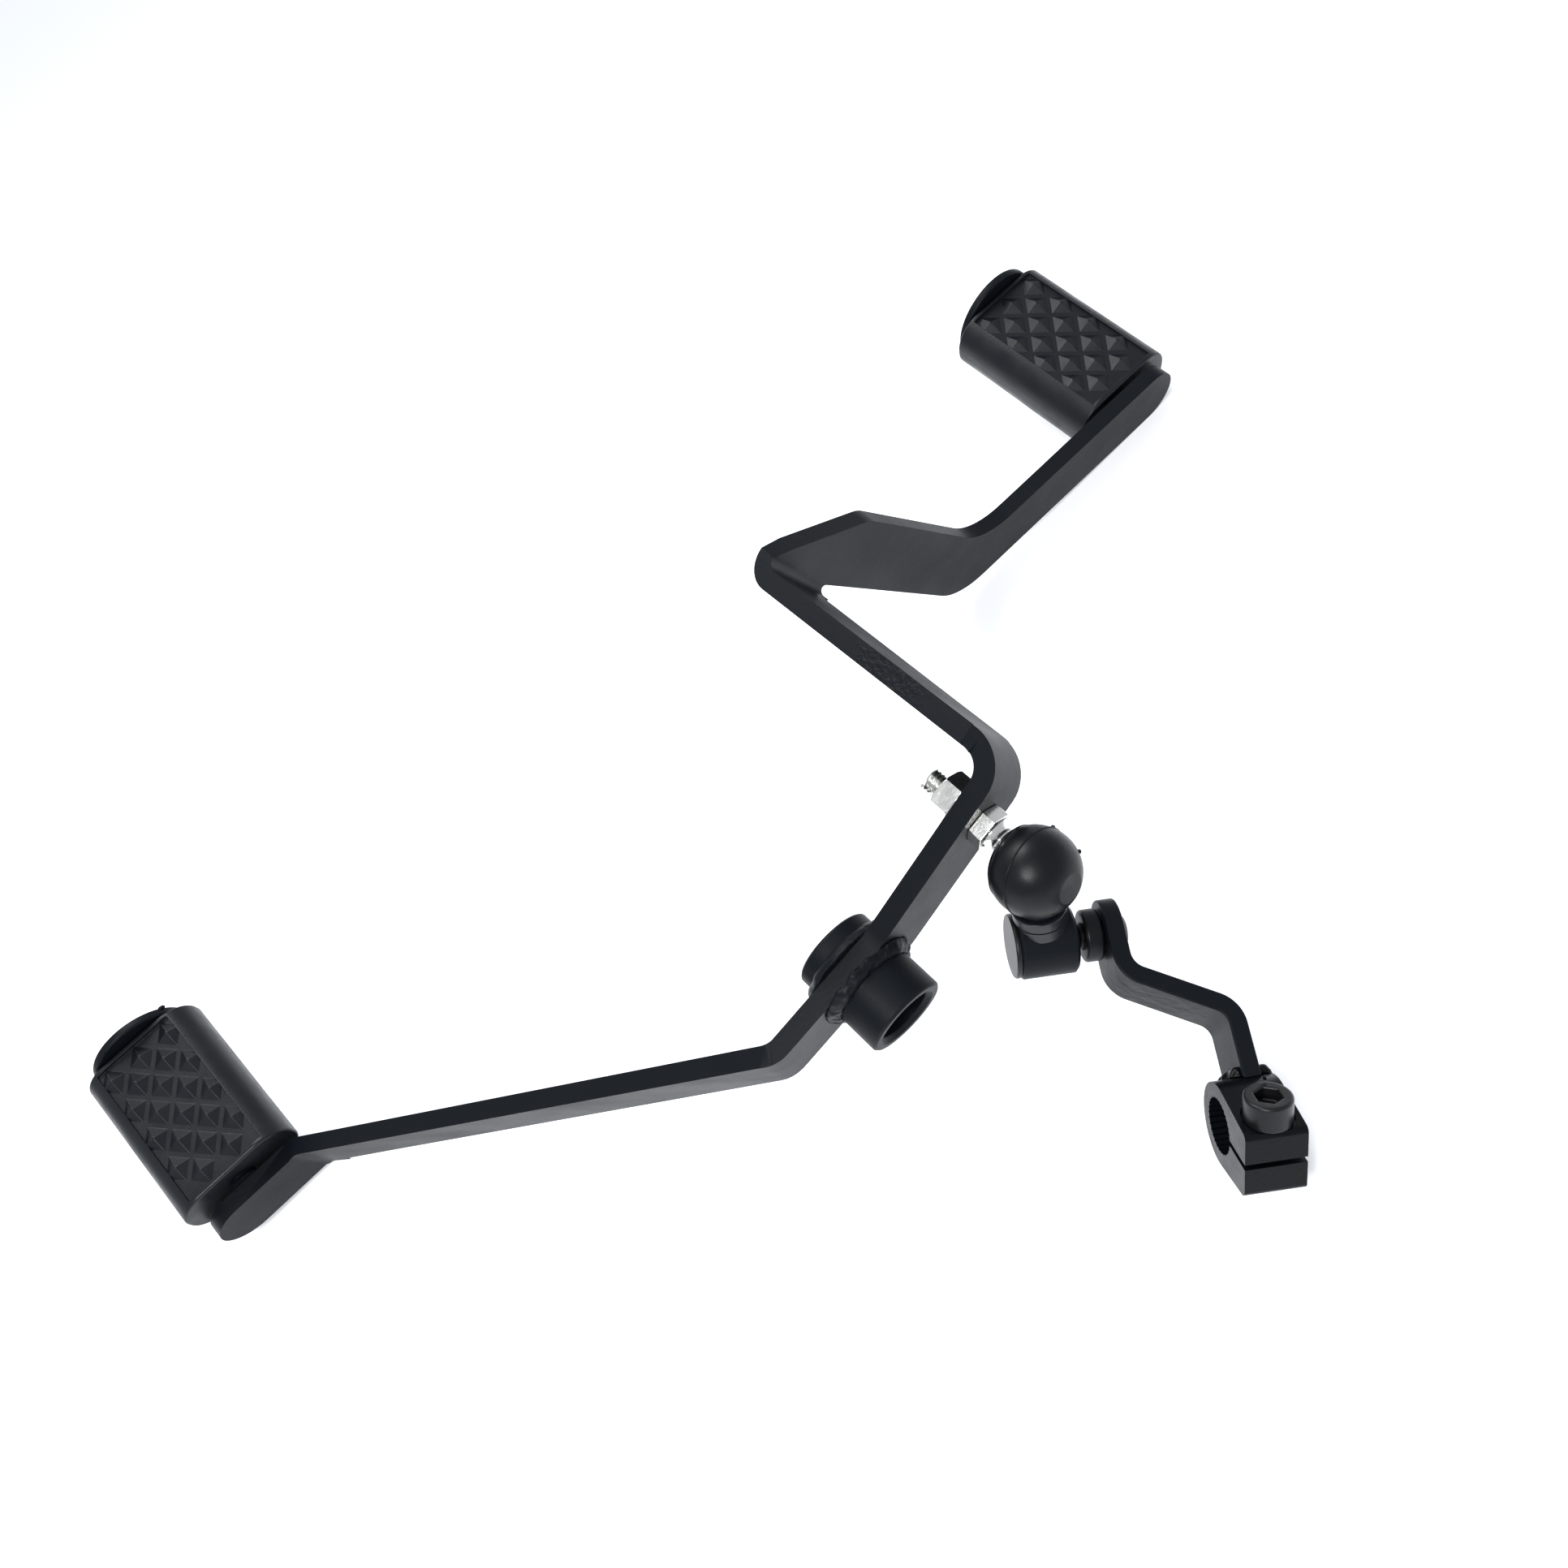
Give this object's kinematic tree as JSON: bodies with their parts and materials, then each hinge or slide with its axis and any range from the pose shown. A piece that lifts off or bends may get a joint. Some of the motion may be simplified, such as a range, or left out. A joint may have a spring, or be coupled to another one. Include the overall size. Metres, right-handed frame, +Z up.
{
  "type": "heel toe shift lever",
  "caption": "Heel and toe gear shift lever: a bent steel bar with a pivot tube and rubber foot pads, and a ball-jointed link to a splined clamp arm.",
  "frame": {"origin": "the middle of the pivot tube's axis, where the tube passes through the bar", "axes": "the lever lies as a loose part lies on a flat floor; X runs level from the toe end to the heel end, Z is up, and Y completes a right-handed frame and points to the side of the foot pads"},
  "size_m": [0.3938, 0.2697, 0.0991],
  "materials": {
    "bar_coat": "satin powder coat",
    "link_coat": "dull black coat",
    "pad_rubber": "moulded, matt",
    "boot_rubber": "moulded, slight sheen",
    "bright_zinc": "bright zinc plate",
    "grey_zinc": "dull plate",
    "dark_steel": "black oxide",
    "seat_nylon": "moulded"
  },
  "bodies": {
    "lever": {"main_bar": "bar_coat", "pivot_tube": "bar_coat", "tube_far_ring": "bar_coat", "tube_weld_near": "bar_coat", "tube_weld_far": "bar_coat", "toe_peg": "bar_coat", "toe_end_disc": "bar_coat", "toe_pad": "pad_rubber", "heel_peg": "bar_coat", "heel_end_disc": "bar_coat", "heel_pad": "pad_rubber", "ball_stud": "bright_zinc", "stud_washer": "bright_zinc", "stud_nut": "bright_zinc"},
    "swivel_ring": {"stud_cone_ring": "bright_zinc"},
    "link": {"link_body": "link_coat", "upper_ball_seat": "seat_nylon", "lower_ball_seat": "seat_nylon", "upper_boot": "boot_rubber", "neck_ring_upper": "dark_steel", "neck_ring_lower": "dark_steel", "lower_end_cap": "grey_zinc"},
    "lower_collar": {"arm_collar": "boot_rubber"},
    "arm": {"arm_stud": "dark_steel", "shift_arm": "bar_coat", "arm_weld_left": "bar_coat", "arm_weld_right": "bar_coat", "spline_clamp": "bar_coat", "pinch_bolt": "dark_steel"}
  },
  "joints": [
    {"name": "upper_swing", "type": "hinge", "parent": "lever", "child": "swivel_ring", "pos_m": [0.04158, -0.02463, 0.01486], "axis": [-0.0452, 0.9071, 0.4184], "range_deg": [-30, 30]},
    {"name": "upper_tilt", "type": "hinge", "parent": "swivel_ring", "child": "link", "pos_m": [0.04158, -0.02463, 0.01486], "axis": [-0.916, -0.2047, 0.3449], "range_deg": [-32, 1]},
    {"name": "lower_tilt", "type": "hinge", "parent": "link", "child": "lower_collar", "pos_m": [0.03391, -0.02506, -0.00575], "axis": [0.3854, 0.9084, -0.1623], "range_deg": [-12, 12]},
    {"name": "arm_swivel", "type": "hinge", "parent": "lower_collar", "child": "arm", "pos_m": [0.03391, -0.02506, -0.00575], "axis": [0.8177, -0.4177, -0.3962], "range_deg": [-40, 40]}
  ]
}
